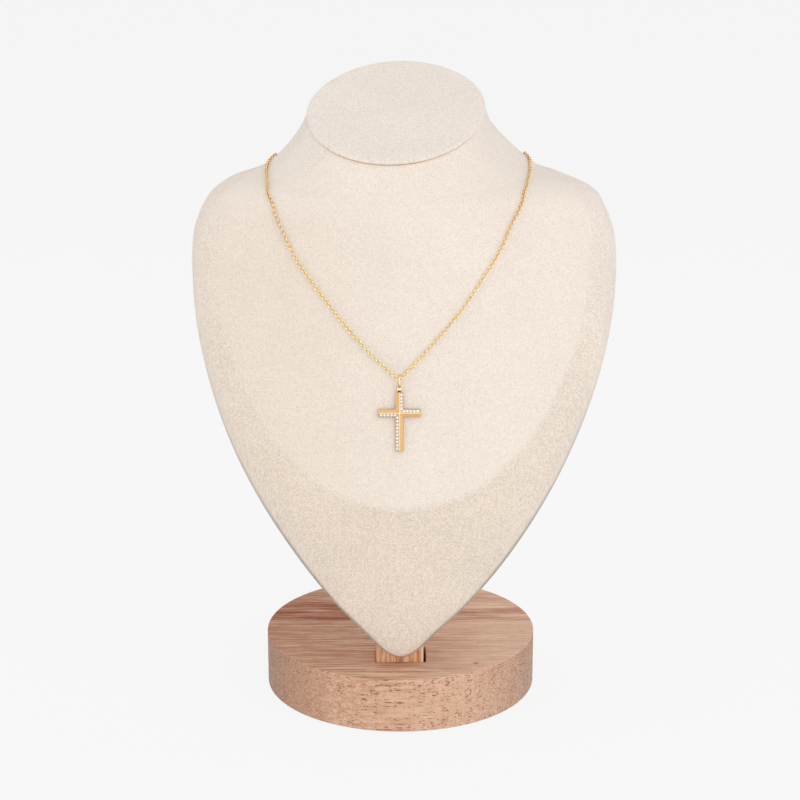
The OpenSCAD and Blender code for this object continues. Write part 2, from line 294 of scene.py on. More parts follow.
def add(tree, kind, inputs=(), **settings):
    """A shader node with its settings and inputs."""
    made = tree.nodes.new("ShaderNode" + kind)
    for key, value in settings.items():
        setattr(made, key, value)
    set_inputs(made, dict(inputs))
    return made


def field(tree, kind, output=0, inputs=(), **settings):
    """The field that one output of a new node gives."""
    return Field(add(tree, kind, inputs, **settings).outputs[output])


def scaled(vector, factors):
    return field(vector.tree, "VectorMath", 0, {0: vector, 1: factors}, operation="MULTIPLY")


def split(vector):
    """The three parts of a vector."""
    return [Field(socket) for socket in add(vector.tree, "SeparateXYZ", {0: vector}).outputs]


def object_place(tree):
    """The object's own coordinates, in millimetres."""
    return scaled(field(tree, "TexCoord", "Object"), (1 / MM, 1 / MM, 1 / MM))


def cell_value(vector):
    """A random value from 0 to 1 for each whole-numbered cell."""
    cell = field(vector.tree, "VectorMath", 0, {0: vector}, operation="FLOOR")
    return field(vector.tree, "TexWhiteNoise", "Value", {"Vector": cell})


def noise(vector, scale=1, detail=2, roughness=0.5):
    inputs = {"Vector": vector, "Scale": scale, "Detail": detail, "Roughness": roughness}
    return field(vector.tree, "TexNoise", "Fac", inputs)


def cells(vector, scale=1):
    """A node of uneven cells: its outputs are the distance from their middles and a colour."""
    return add(vector.tree, "TexVoronoi", {"Vector": vector, "Scale": scale})


def ranged(value, source, target=(0, 1)):
    """Carries one range of values over to another, and stops at its ends."""
    inputs = {"Value": value, "From Min": source[0], "From Max": source[1],
              "To Min": target[0], "To Max": target[1]}
    return field(value.tree, "MapRange", "Result", inputs)


def between(value, low, high, soft):
    """1 between two values, 0 outside, with soft ends."""
    rise = ranged(value, (low - soft, low + soft))
    fall = ranged(value, (high - soft, high + soft), (1, 0))
    return rise * fall


def mixed(share, a, b, blend="MIX", tree=None):
    """A colour that goes from a to b as the share goes from 0 to 1."""
    inputs = {0: share, 6: a, 7: b}
    return field(tree or share.tree, "Mix", 2, inputs, data_type="RGBA", blend_type=blend)


def shaded(colour, tone):
    """A colour made darker or paler by a tone about 1."""
    grey = field(tone.tree, "CombineXYZ", 0, {X: tone, Y: tone, Z: tone})
    return mixed(1, colour, grey, "MULTIPLY", tone.tree)


def bumped(height, distance, strength):
    """Normals of a surface that rises by the distance where the height is 1."""
    inputs = {"Height": height, "Distance": distance * MM, "Strength": strength}
    return field(height.tree, "Bump", 0, inputs)


def material(name):
    """A new material, its node tree and its shader."""
    made = bpy.data.materials.new(name)
    made.use_nodes = True
    tree = made.node_tree
    return made, tree, tree.nodes["Principled BSDF"]


def rgb(red, green, blue):
    """A colour given in screen values, 0 to 255, as linear light."""
    linear = [(v / 255 / 12.92) if v < 11 else ((v / 255 + 0.055) / 1.055) ** 2.4
              for v in (red, green, blue)]
    return (*linear, 1)


# Linen

# Thread spacing, and how much of the grain is single threads and how much long slubs
THREAD = 0.5
FLECK = 0.55
SLUB = 0.35
# Paler and deeper tones of the cloth, between which the chest also paints light and shade
LINEN_PALE = rgb(230, 219, 208)
LINEN_DEEP = rgb(220, 205, 190)
# Painted shade along the bust's lower edges
LINEN_SHADE = rgb(116, 110, 90)
LINEN_SPECK = rgb(142, 122, 102)
CAP_PALE = tuple(np.multiply(LINEN_PALE, (0.96, 0.97, 0.985, 1)))
CAP_GRAIN = 1.3
# Outline of the bib on the chest: middle, half width, level of its widest place, depth below
# and height above that, how square and how soft it is, and how far up it narrows to the neck
BIB_MID = 0.5
BIB_HALF = 88
BIB_LEVEL = 225.5
BIB_DEPTH = 124
BIB_RISE = 33
BIB_ROUND = 2.1
BIB_SOFT = 0.025
BIB_NECK = 0.7
# Direction the front is seen from, and how far the painted shade line at the edges is turned
# from it at two levels, its softness and the levels over which it fades
PHOTO_SIDE = (0, -0.96, 0.27)
EDGE_TURN = (0.60, 0.36)
EDGE_LEVELS = (40, 150)
EDGE_SOFT = 0.12
EDGE_FADE = (170, 80)
# Levels over which painted light makes the plain cloth paler, those below the shoulders
# where painted shade darkens the chest's left, and those of the neck
PALE_LEVELS = (110, 230)
SHOULDER_LEVELS = (245, 225)
NECK_LEVELS = (245, 262)


def facing_front(tree):
    """1 where the surface faces the side the bust is seen from, 0 at right angles to it."""
    inputs = {0: field(tree, "NewGeometry", "Normal"), 1: PHOTO_SIDE}
    return field(tree, "VectorMath", "Value", inputs, operation="DOT_PRODUCT")


def bib_mask(place):
    """1 inside the paler bib on the chest."""
    parts = split(place)
    across = abs((parts[X] - BIB_MID) / BIB_HALF)
    above = parts[Z] - BIB_LEVEL
    up = (above / BIB_RISE).calc("MINIMUM", BIB_NECK)
    away = (above / -BIB_DEPTH).calc("MAXIMUM", up)
    size = across ** BIB_ROUND + away ** BIB_ROUND
    inside = ranged(size, (1 - BIB_SOFT, 1 + BIB_SOFT), (1, 0))
    return inside * ranged(facing_front(place.tree), (0, 0.1))


def painted_edge_shade(place):
    """Painted shade, 1 along the bust's lower sides, where the cloth turns towards the back."""
    facing = facing_front(place.tree)
    height = split(place)[Z]
    limit = ranged(height, EDGE_LEVELS, EDGE_TURN)
    turned = ranged(limit - facing, (-EDGE_SOFT, EDGE_SOFT))
    return turned * ranged(facing, (0, 0.08)) * ranged(height, EDGE_FADE)


def chest_tones(place, fleck):
    """Colour of the bust's cloth, with painted light and shade, and how strong its grain is."""
    parts = split(place)
    bib = bib_mask(place)
    # Painted light makes it paler higher up and to the right, painted shade deeper on the left
    painted_light = ranged(parts[Z], PALE_LEVELS, (0, 0.55)) + ranged(parts[X], (0, 80), (0, 0.3))
    painted_shade = ranged(parts[X], (10, -50), (0, 0.5)) * ranged(parts[Z], SHOULDER_LEVELS)
    plain = mixed(painted_light, LINEN_DEEP, LINEN_PALE)
    ground = mixed(bib, plain, mixed(painted_shade, LINEN_PALE, LINEN_DEEP))
    # Painted shade along the lower edges, flecked with the threads
    under = painted_edge_shade(place) * ranged(fleck, (0, 1), (0.45, 1))
    strength = ranged(bib, (0, 1), (1.8, 1)) + ranged(parts[Z], NECK_LEVELS, (0, 0.3))
    return mixed(under, ground, LINEN_SHADE), strength


def linen(name, with_bib):
    """Plain woven linen: crossing threads of uneven tone and thickness, and a few dark neps."""
    made, tree, shader = material(name)
    uv = field(tree, "UVMap", uv_map="weave")
    threads = scaled(uv, (1 / THREAD, 1 / THREAD, 1))
    waves = split(scaled(threads, (math.pi, math.pi, 1)))
    dome = abs(waves[X].calc("SINE") * waves[Y].calc("SINE")) ** 0.6
    fleck = cell_value(threads)
    warp = noise(scaled(uv, (1.5, 0.10, 1)), detail=3, roughness=0.6)
    weft = noise(scaled(uv, (0.12, 1.5, 1)), detail=3, roughness=0.6)
    fuzz = noise(uv, scale=1.6, detail=4, roughness=0.75)
    grain = (warp + weft) * SLUB + fuzz + fleck * FLECK
    blotch = noise(uv, scale=0.03)
    tone = ranged(grain, (0.60, 1.60), (0.87, 1.12)) * ranged(blotch, (0.3, 0.7), (0.985, 1.015))
    ground, strength = CAP_PALE, CAP_GRAIN
    if with_bib:
        ground, strength = chest_tones(object_place(tree), fleck)
    toned = shaded(ground, (tone - 1) * strength + 1)
    neps_and_sheen = Field(cells(uv, 0.3).outputs["Distance"]) * ranged(fuzz, (0.35, 0.65), (1.5, 0.7))
    speck = ranged(neps_and_sheen, (0.05, 0.10), (0.45, 0))
    set_inputs(shader, {
        "Base Color": mixed(speck, toned, LINEN_SPECK),
        "Roughness": 0.92,
        "Specular IOR Level": 0.25,
        "Sheen Weight": 0.35,
        "Sheen Roughness": 0.5,
        "Normal": bumped(dome * 0.6 + grain * 0.7, distance=0.12, strength=0.8),
    })
    return made


def seam_line(name):
    """Thin brown line under the cap, strongest at its front left, fading to the linen's colour."""
    made, tree, shader = material(name)
    place = object_place(tree)
    mottle = noise(place, scale=0.5, detail=3, roughness=0.7)
    line = mixed(mottle, rgb(208, 150, 104), rgb(238, 196, 154))
    reach = abs(split(place)[X] + 8)
    colour = mixed(ranged(reach, (14, 36)), line, LINEN_PALE)
    set_inputs(shader, {"Base Color": colour, "Roughness": 0.85})
    return made


# Wood

FOOT_PALE = rgb(229, 194, 169)
FOOT_BROWN = rgb(172, 120, 90)
FOOT_RED = rgb(150, 78, 42)
FOOT_PORE = rgb(138, 66, 38)
FOOT_END = rgb(132, 100, 82)
FOOT_SIDE = rgb(202, 163, 136)
WOOD_SHINE = 0.35
WOOD_ROUGH = (0.5, 0.66)
POST_PALE = rgb(236, 196, 160)
POST_BROWN = rgb(186, 120, 76)
POST_HIGHLIGHT = rgb(236, 204, 176)
# Width of the painted highlight along the post's front right edge, where it is full and where it ends
POST_HIGHLIGHT_W = (0.6, 0.9)
# Place and half size of the foot's one small knot
KNOT = (35.3, -45.4)
KNOT_HALF = (1.7, 1.1)
# Depth of the joint between the foot's two boards
JOINT = 8
# Depths over which the red flames fade
FLAME_FADE = (22, 52)


def fibres(place, along, across, detail=2, roughness=0.5):
    """Noise drawn out along X, with that many changes in a millimetre along and across."""
    return noise(scaled(place, (along, across, across)), detail=detail, roughness=roughness)


def pores(place, along, across, smallest, largest):
    """Long thin pores: cells of that length and width, each with a pore of its own size."""
    found = cells(scaled(place, (1 / along, 1 / across, 1 / across))).outputs
    size = ranged(split(Field(found["Color"]))[0], (0.15, 1), (smallest, largest))
    return ranged(size - Field(found["Distance"]), (0, 0.08))


def knot_mask(parts):
    across = (parts[X] - KNOT[0]) / KNOT_HALF[0]
    deep = (parts[Y] - KNOT[1]) / KNOT_HALF[1]
    return ranged(across * across + deep * deep, (0.2, 1), (0.85, 0))


def front_board(place, parts, streak, hair):
    """Plain streaks, browner towards the left from painted shade, and with dark veins there."""
    wander = fibres(place, 0.012, 0.03)
    depth = parts[Y] + wander * 30
    rings = noise(field(place.tree, "CombineXYZ", 0, {Y: depth * 0.16}))
    brown = streak * 2 + hair * 0.8 + rings * 0.4
    vein = ranged(fibres(place, 0.02, 0.62), (0.56, 0.66))
    lines = vein * ranged(parts[X], (40, -40), (0.12, 0.6))
    # Browner towards the left: painted shade
    contrast = ranged(parts[X], (40, -40), (0.75, 1.25))
    side = ranged(parts[X], (45, -60), (-0.1, 0.2))
    return mixed(ranged(brown, (1.2, 2)) * contrast + side + lines, FOOT_PALE, FOOT_BROWN)


def back_board(place, parts, streak):
    """Red flames, strongest by the joint."""
    flame = fibres(place, 0.016, 0.12, detail=4, roughness=0.6)
    red = ranged(flame, (0.36, 0.64), (0.1, 0.6)) + ranged(streak, (0.35, 0.65), (0, 0.6))
    # Redder towards the left: painted shade
    red = red + ranged(parts[X], (60, -60), (-0.3, 0.2))
    return mixed(red * ranged(parts[Y], FLAME_FADE, (1.15, 0.45)), FOOT_PALE, FOOT_RED)


def boards(place, parts, streak, hair):
    """Tones of the foot's two boards and the thin dark glue line between them."""
    front = front_board(place, parts, streak, hair)
    behind = back_board(place, parts, streak)
    both = mixed(ranged(parts[Y], (JOINT - 0.2, JOINT + 0.2)), front, behind)
    glue = between(parts[Y], JOINT - 0.25, JOINT + 0.25, soft=0.1) * 0.15
    return mixed(glue, both, FOOT_RED)


def pore_mask(place, parts):
    """Pores, larger where they crowd together and by the upper rim."""
    crowd = fibres(place, 0.05, 0.3, detail=1)
    largest = ranged(crowd, (0.3, 0.6), (0.24, 0.50)) + ranged(parts[Z], (16, 25), (0, 0.08))
    long_pores = pores(place, along=5.4, across=0.66, smallest=0, largest=largest)
    short_pores = pores(place, along=2.2, across=0.6, smallest=-0.1, largest=largest * 0.95)
    return long_pores.calc("MAXIMUM", short_pores)


def foot_wood(name):
    """Two boards of sealed hardwood, streaked on top, dotted at the fibres' ends."""
    made, tree, shader = material(name)
    place = object_place(tree)
    parts = split(place)
    streak = fibres(place, 0.04, 0.9, detail=4, roughness=0.75)
    hair = fibres(place, 0.13, 2.4, roughness=0.6)
    ground = boards(place, parts, streak, hair)
    normal = split(field(tree, "NewGeometry", "Normal"))
    side_face = ranged(abs(normal[Z]), (0.8, 0.3))
    end_grain = ranged(abs(normal[X]), (0.45, 1)) * side_face
    ground = mixed(side_face * 0.5, ground, FOOT_SIDE)
    # The ends of the fibres take the sealer darker, in fine grains; the side facing left is
    # darkened further, which is painted shade
    grit = cell_value(scaled(place, (1.2, 1.9, 1.9)))
    depth = ranged(grit, (0, 1), (0.95, 0.15)) + ranged(normal[X], (0, -1), (0, 0.15))
    ground = mixed(end_grain * depth, ground, FOOT_END)
    pore = pore_mask(place, parts) * ranged(side_face, (0, 1), (0.12, 0.85))
    ground = mixed(pore, ground, FOOT_PORE)
    ground = mixed(knot_mask(parts), ground, FOOT_RED)
    set_inputs(shader, {
        "Base Color": shaded(ground, ranged(grit, (0, 1), (0.96, 1.04))),
        "Roughness": ranged(streak, (0.3, 0.7), WOOD_ROUGH),
        "Specular IOR Level": WOOD_SHINE,
        "Normal": bumped(hair * 0.35 - pore, distance=0.07, strength=0.6),
    })
    return made


def post_wood(name):
    """The same wood in the upright, its fibres along Z, with a painted highlight at its front right
    edge.
    """
    made, tree, shader = material(name)
    place = object_place(tree)
    parts = split(place)
    streak = noise(scaled(place, (0.55, 0.55, 0.03)), detail=3, roughness=0.65)
    hair = noise(scaled(place, (2.2, 2.2, 0.10)), roughness=0.6)
    ground = mixed(ranged(streak * 1.3 + hair * 0.6, (0.75, 1.2)), POST_PALE, POST_BROWN)
    # Painted highlight along the front right edge
    full, end = POST_HIGHLIGHT_W
    right = ranged(parts[X], (POST_RIGHT - end, POST_RIGHT - full))
    edge = right * ranged(parts[Y], (POST_FRONT + end, POST_FRONT + full))
    set_inputs(shader, {
        "Base Color": mixed(edge, ground, POST_HIGHLIGHT),
        "Roughness": ranged(streak, (0.3, 0.7), WOOD_ROUGH),
        "Specular IOR Level": WOOD_SHINE,
        "Normal": bumped(hair, distance=0.05, strength=0.5),
    })
    return made


# Metal and stones

# Chain: levels between which painted shade turns it to the deeper gold of the shoulders
DEEP_LEVELS = (205, 240)
# White plating under the rows of stones: from the ridge outwards, and along each arm
BAND = (0.30, 1.66)
BAND_START = 1.25
BAND_END = 0.35
# Painted shade in the corner at the foot of the eye above the cross, and in a rim inside its bore
EYE_SHADE = (0.05, 0.75)
BORE_RIM = (0.12, 0.28)


def handling_marks(tree):
    """Uneven tone of a handled surface."""
    return noise(object_place(tree), scale=1.7, detail=4, roughness=0.7)


def plated(name, colour, rough):
    """Polished plate with faint handling marks."""
    made, tree, shader = material(name)
    marks = handling_marks(tree)
    ripple = noise(object_place(tree), scale=6)
    set_inputs(shader, {
        "Base Color": shaded(colour, ranged(marks, (0.3, 0.7), (0.93, 1.03))),
        "Metallic": 1,
        "Roughness": ranged(marks, (0.3, 0.7), (rough * 0.8, rough * 1.25)),
        "Normal": bumped(ripple, distance=0.006, strength=0.4),
    })
    return made


def chain_plate(name):
    """Gold, with a painted highlight on the wire's outer side and painted shade inside the links."""
    made, tree, shader = material(name)
    marks = ranged(handling_marks(tree), (0.3, 0.7), (-0.06, 0.06))
    neps_and_sheen = split(field(tree, "UVMap", uv_map="wire_outside"))[0]
    painted_sheen = ranged(neps_and_sheen + marks, (0.25, 0.7))
    # Painted shade: a deeper gold towards the shoulders
    high = ranged(split(object_place(tree))[Z], DEEP_LEVELS)
    painted_shade = mixed(high, rgb(246, 182, 100), rgb(194, 108, 46))
    bright = mixed(high, rgb(255, 248, 200), rgb(255, 228, 168))
    rough = ranged(painted_sheen, (0, 1), (0.4, 0.2))
    set_inputs(shader, {"Base Color": mixed(painted_sheen, painted_shade, bright), "Metallic": 1, "Roughness": rough})
    return made


def set_bands(plan):
    """1 on the parts of the cross that carry stones."""
    x, z = plan[:2]
    arms = [(x, z, 1, ARM_UP), (z, x, 1, ARM_SIDE), (z, x, -1, ARM_SIDE), (x, z, -1, ARM_DOWN)]
    bands = 0
    for across, along, way, length in arms:
        wide = between(across * way, *BAND, soft=0.04)
        long = between(along * way, BAND_START, length - BAND_END, soft=0.1)
        bands = (wide * long).calc("MAXIMUM", bands)
    return bands


def painted_eye_shade(plan):
    """Painted shade: 1 in the corner at the foot of the eye, and inside its bore."""
    x, z = plan[:2]
    corner = between(z, ARM_UP + EYE_SHADE[0], ARM_UP + EYE_SHADE[1], soft=0.08)
    rise = z - CROSSING_DROP
    limits = [(EYE_BORE / 2 + rim) ** 2 for rim in BORE_RIM]
    return corner.calc("MAXIMUM", ranged(x * x + rise * rise, limits, (1, 0)))


def cross_plate(name):
    """Gold, with white plating in the bands that carry the stones, and painted shade at the eye."""
    made, tree, shader = material(name)
    plan = split(field(tree, "UVMap", uv_map="plan"))
    bands = set_bands(plan)
    # Painted shade where the eye meets the cross and inside its bore
    eye_shade = painted_eye_shade(plan)
    gold = mixed(ranged(handling_marks(tree), (0.3, 0.7)), rgb(221, 179, 125), rgb(232, 192, 138))
    colour = mixed(bands, gold, rgb(200, 182, 166))
    ripple = noise(object_place(tree), scale=3, detail=3)
    set_inputs(shader, {
        "Base Color": mixed(eye_shade, colour, rgb(112, 64, 26)),
        "Metallic": 1,
        "Roughness": ranged(bands, (0, 1), (0.3, 0.22)) + eye_shade * 0.3,
        "Normal": bumped(ripple, distance=0.03, strength=0.6),
    })
    return made


def clear_stone(name):
    """Clear cut stone with a white body colour, which paints in its glints."""
    made, tree, shader = material(name)
    cloud = noise(object_place(tree), scale=0.9, detail=1)
    # White body colour: painted glints
    set_inputs(shader, {
        "Base Color": mixed(cloud, rgb(255, 250, 240), rgb(238, 230, 222)),
        "Roughness": 0.03,
        "IOR": 2.1,
        "Transmission Weight": 0.05,
    })
    return made


# Floor and studio

def floor_material():
    """Plain pale floor, mostly glowing so that it stays even."""
    made, tree, shader = material("floor")
    shade = noise(field(tree, "TexCoord", "Object"), scale=3)
    set_inputs(shader, {"Base Color": mixed(shade, rgb(238, 238, 238), rgb(240, 240, 240)),
                        "Roughness": 1})
    glow = field(tree, "Emission", 0, {"Color": rgb(245, 245, 245), "Strength": 1.03})
    blend = field(tree, "MixShader", 0, {0: 0.92, 1: Field(shader.outputs[0]), 2: glow})
    set_inputs(tree.nodes["Material Output"], {"Surface": blend})
    return made


def make_floor():
    corners = [(x * FLOOR_SIDE, y * FLOOR_SIDE, 0) for x, y in ((-1, -1), (1, -1), (1, 1), (-1, 1))]
    data = bpy.data.meshes.new("floor")
    data.from_pydata(corners, [], [(0, 1, 2, 3)])
    data.materials.append(floor_material())
    placed_object("floor", data)


def make_world():
    """A pale studio: white towards the horizon, greyer overhead, and dim on the camera's side."""
    world = bpy.data.worlds.new("studio")
    world.use_nodes = True
    tree = world.node_tree
    way = split(field(tree, "TexCoord", "Generated"))
    colour = mixed(ranged(way[Z], (0.10, 0.5)), rgb(245, 245, 245), rgb(208, 208, 208))
    dim = ranged(way[Y], (-0.6, -0.95)) * ranged(way[Z], (0.05, 0.14))
    set_inputs(tree.nodes["Background"], {"Color": mixed(dim, colour, rgb(140, 140, 140))})
    bpy.context.scene.world = world
    bpy.context.scene.view_settings.view_transform = "Standard"


# Meshes

def mesh_object(name, points, faces, materials=()):
    """A smooth-shaded object from points in millimetres."""
    data = bpy.data.meshes.new(name)
    data.from_pydata((np.asarray(points, float) * MM).tolist(), [], [tuple(f) for f in faces])
    for m in materials:
        data.materials.append(m)
    data.shade_smooth()
    data.update()
    return placed_object(name, data)


def outward(obj):
    """Turns every face of a closed mesh outwards."""
    made = bmesh.new()
    made.from_mesh(obj.data)
    bmesh.ops.recalc_face_normals(made, faces=made.faces)
    made.to_mesh(obj.data)
    made.free()
    return obj


def solid(name, points, faces, materials=()):
    return outward(mesh_object(name, points, faces, materials))


def grid_corners(rows, columns):
    """Row and column of each corner of the squares of a grid."""
    i, j = np.meshgrid(np.arange(rows), np.arange(columns), indexing="ij")
    row = np.stack([i, i, i + 1, i + 1], -1).reshape(-1, 4)
    column = np.stack([j, j + 1, j + 1, j], -1).reshape(-1, 4)
    return row, column


def loft(rings):
    """Points and faces of a solid through rings of equally many points, with flat ends."""
    rings = np.asarray(rings, float)
    count, n = rings.shape[:2]
    row, column = grid_corners(count - 1, n)
    faces = (row * n + column % n).tolist()
    faces += [list(range(n - 1, -1, -1)), list(range((count - 1) * n, count * n))]
    return rings.reshape(-1, 3), faces


def ring_faces(count, n):
    """Faces of a tube through that many rings of n points, the last joined to the first."""
    row, column = grid_corners(count, n)
    return row % count * n + column % n


def settled(obj):
    """Applies the object's modifiers to its mesh."""
    graph = bpy.context.evaluated_depsgraph_get()
    seen = obj.evaluated_get(graph)
    data = bpy.data.meshes.new_from_object(seen, preserve_all_data_layers=True, depsgraph=graph)
    obj.modifiers.clear()
    old = obj.data
    obj.data = data
    bpy.data.meshes.remove(old)
    return obj


def combine(obj, tool, operation):
    """Cuts or adds a tool object, which is then removed."""
    made = obj.modifiers.new("combine", "BOOLEAN")
    made.object = tool
    made.operation = operation
    made.solver = "EXACT"
    settled(obj)
    bpy.data.objects.remove(tool)
    return obj


def rounded(obj, width, segments=3, angle=20.0):
    """Rounds the edges that are sharper than that angle."""
    made = obj.modifiers.new("round", "BEVEL")
    made.width = width * MM
    made.segments = segments
    made.limit_method = "ANGLE"
    made.angle_limit = math.radians(angle)
    return settled(obj)


def hard_edges(obj, angle):
    """Smooth shading with hard edges over that angle."""
    obj.data.shade_smooth()
    obj.data.set_sharp_from_angle(angle=math.radians(angle))


def crisp(obj, angle):
    """The same, with the large faces kept flat."""
    hard_edges(obj, angle)
    made = obj.modifiers.new("normals", "WEIGHTED_NORMAL")
    made.keep_sharp = True
    return settled(obj)


def keep_map(obj, name, values):
    """Keeps a pair of values for each corner of an object's faces."""
    layer = obj.data.uv_layers.new(name=name)
    layer.uv.foreach_set("vector", np.asarray(values, np.float32).ravel())


def corner_points(obj):
    """Number of the point at each corner of an object's faces."""
    corners = np.empty(len(obj.data.loops), int)
    obj.data.loops.foreach_get("vertex_index", corners)
    return corners


def circle(radius, sides):
    """Points of a circle, as pairs."""
    turns = np.arange(sides) * math.tau / sides
    return [(radius * math.cos(t), radius * math.sin(t)) for t in turns]


def rounding(radius):
    """Inset and rise at steps round a rounded edge, from its foot up."""
    turns = np.radians(np.linspace(0, 90, 5))
    return [(radius * (1 - math.sin(t)), radius * (1 - math.cos(t))) for t in turns]


def box_rings(x0, x1, y0, y1, levels, grow=(0, 0)):
    """Rings of an upright box at some levels, each grown by its own width."""
    return [[(x0 - g, y0 - g, z), (x1 + g, y0 - g, z), (x1 + g, y1 + g, z), (x0 - g, y1 + g, z)]
            for z, g in zip(levels, grow)]


def unit(v):
    return v / np.linalg.norm(v, axis=-1, keepdims=True)


def lengths_along(line):
    """Length along a line of points from its start to each."""
    return np.concatenate([[0], np.cumsum(np.linalg.norm(np.diff(line, axis=0), axis=1))])


def at_lengths(line, run, at):
    """Points at some lengths along a line of points."""
    return np.stack([np.interp(at, run, line[:, k]) for k in range(3)], -1)


# Bust

NECK_NORMAL = unit(np.array([-NECK_ROLL, -NECK_SLOPE, 1.0]))


def columns(level):
    """The section's values at an array of levels, on the source's smooth curve."""
    z = SECTIONS[:, LEVEL]
    last = len(z) - 1
    i = np.clip(np.searchsorted(z, level, side="right") - 1, 0, last - 1)
    before = np.maximum(np.arange(last + 1) - 1, 0)
    after = np.minimum(np.arange(last + 1) + 1, last)
    steep = (SECTIONS[after] - SECTIONS[before]) / (z[after] - z[before])[:, None]
    h = (z[i + 1] - z[i])[..., None]
    t = (level - z[i])[..., None] / h
    return ((2 * t**3 - 3 * t**2 + 1) * SECTIONS[i] + (t**3 - 2 * t**2 + t) * h * steep[i]
            + (3 * t**2 - 2 * t**3) * SECTIONS[i + 1] + (t**3 - t**2) * h * steep[i + 1])


def signed_pow(v, e):
    return np.sign(v) * np.abs(v) ** e


def bust_point(way, level, out=0):
    """Points of the bust. The way round is 0 right, 90 back, 180 left, 270 front."""
    way, level = np.broadcast_arrays(np.asarray(way, float) % 360, np.asarray(level, float))
    s = np.moveaxis(columns(level), -1, 0)
    front = way > 180
    n = np.where(front, s[NF], s[NB])
    reach = out + np.where(front, s[SIDE] - s[FRONT], s[BACK] - s[SIDE])
    x = (s[HALF] + out) * signed_pow(np.cos(np.radians(way)), 2 / n)
    y = reach * signed_pow(np.sin(np.radians(way)), 2 / n)
    z = s[LEVEL] + s[SLOPE] * y + NECK_ROLL * s[SLOPE] / NECK_SLOPE * x
    return np.stack([s[MID] + x, s[SIDE] + y, z], -1)


def bust_normal(way, level):
    round_step = bust_point(way + WAY_STEP, level) - bust_point(way - WAY_STEP, level)
    up_step = bust_point(way, level + LEVEL_STEP) - bust_point(way, level - LEVEL_STEP)
    return unit(np.cross(round_step, up_step))


def even_ring(level, out=0):
    """One section as even steps from the back's middle round the left to it again, and the
    length of linen from the front's middle to each."""
    share = np.linspace(0, 1, TRACE_STEPS)
    sides = []
    for turn in (-180, 180):
        line = bust_point(270 + turn * share, level, out)
        run = lengths_along(line)
        at = np.linspace(0, run[-1], RING_SIDE_STEPS + 1)
        sides.append((at_lengths(line, run, at), at))
    (left, left_run), (right, right_run) = sides
    points = np.concatenate([left[::-1], right[1:]])
    lengths = np.concatenate([-left_run[::-1], right_run[1:]])
    return points, lengths


def ring_levels():
    """Levels from the tip to the neck, closer together where the linen turns."""
    fine = np.linspace(TIP_LEVEL, NECK_LEVEL, LEVEL_STEPS)
    steps = [np.linalg.norm(np.diff(bust_point(way, fine), axis=0), axis=1) for way in (270, 0)]
    run = np.concatenate([[0], np.cumsum(np.maximum(*steps))])
    return np.interp(np.linspace(0, run[-1], RING_COUNT), run, fine)


def bust_rings():
    """Rings of the linen, and the length from the front's middle to each of their points."""
    first, first_run = even_ring(TIP_LEVEL)
    centre = first[:-1].mean(0)
    made = []
    for f in TIP_RINGS:
        drop = [0, 0, TIP_DROP * (1 - f * f)]
        made.append((centre + f * (first - centre) - drop, first_run * f))
    made += [even_ring(level) for level in ring_levels()]
    for out, lift in NECK_RINGS:
        points, run = even_ring(NECK_LEVEL, out)
        made.append((points + NECK_NORMAL * lift, run))
    rings, lengths = zip(*made)
    return np.array(rings), np.array(lengths)


def bust_threads(rings, lengths):
    """Thread coordinates of the linen's points: round the bust, and up it from ring to ring."""
    along = unit(np.gradient(rings, axis=1))
    step = np.diff(rings, axis=0)
    rise = np.linalg.norm(step - (step * along[1:]).sum(-1, keepdims=True) * along[1:], axis=-1)
    ups = np.concatenate([np.zeros((1, rings.shape[1])), np.cumsum(rise, axis=0)])
    return np.stack([lengths, ups], -1)


def woven_grid(name, rings, threads, materials):
    """A closed tube of rings whose last column meets the first, with its weave."""
    count, n = rings.shape[0], rings.shape[1] - 1
    points, faces = loft(rings[:, :-1])
    row, column = grid_corners(count - 1, n)
    keys = (row * (n + 1) + column).tolist()
    last = (count - 1) * (n + 1)
    keys += [list(range(n - 1, -1, -1)), list(range(last, last + n))]
    made = mesh_object(name, points, faces, materials)
    pairs = threads.reshape(-1, 2)
    keep_map(made, "weave", [pairs[key] for face in keys for key in face])
    return outward(made)


def post_rings(grow):
    bottom = BASE_T - MORTISE_DEPTH + FIT
    return box_rings(POST_LEFT - grow, POST_RIGHT + grow, POST_FRONT - grow, POST_BACK + grow,
                     [bottom, POST_TOP + grow])


def make_bust():
    rings, lengths = bust_rings()
    threads = bust_threads(rings, lengths)
    made = woven_grid("bust_linen", rings, threads, [linen("linen", True)])
    combine(made, solid("slot", *loft(post_rings(FIT))), "DIFFERENCE")
    hard_edges(made, 50)
    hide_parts("bust")
    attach(made, "stand")


def make_cap():
    top = CAP_PROFILE[-1][1]
    rings = [even_ring(NECK_LEVEL, out)[0] + NECK_NORMAL * (FIT + rise) for out, rise in CAP_PROFILE]
    edge = rings[-1] - NECK_NORMAL * (FIT + top)
    centre = edge[:-1].mean(0)
    for f in CROWN_RINGS:
        rise = FIT + top + CAP_CROWN * (1 - f * f)
        rings.append(centre + f * (edge - centre) + NECK_NORMAL * rise)
    rings = np.array(rings)
    side = unit(np.array([1.0, 0.0, NECK_ROLL]))
    up = np.cross(NECK_NORMAL, side)
    threads = np.stack([(rings - centre) @ side, (rings - centre) @ up], -1)
    made = woven_grid("cap_linen", rings, threads, [linen("cap_linen", False)])
    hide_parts("neck_cap")
    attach(made, "stand")


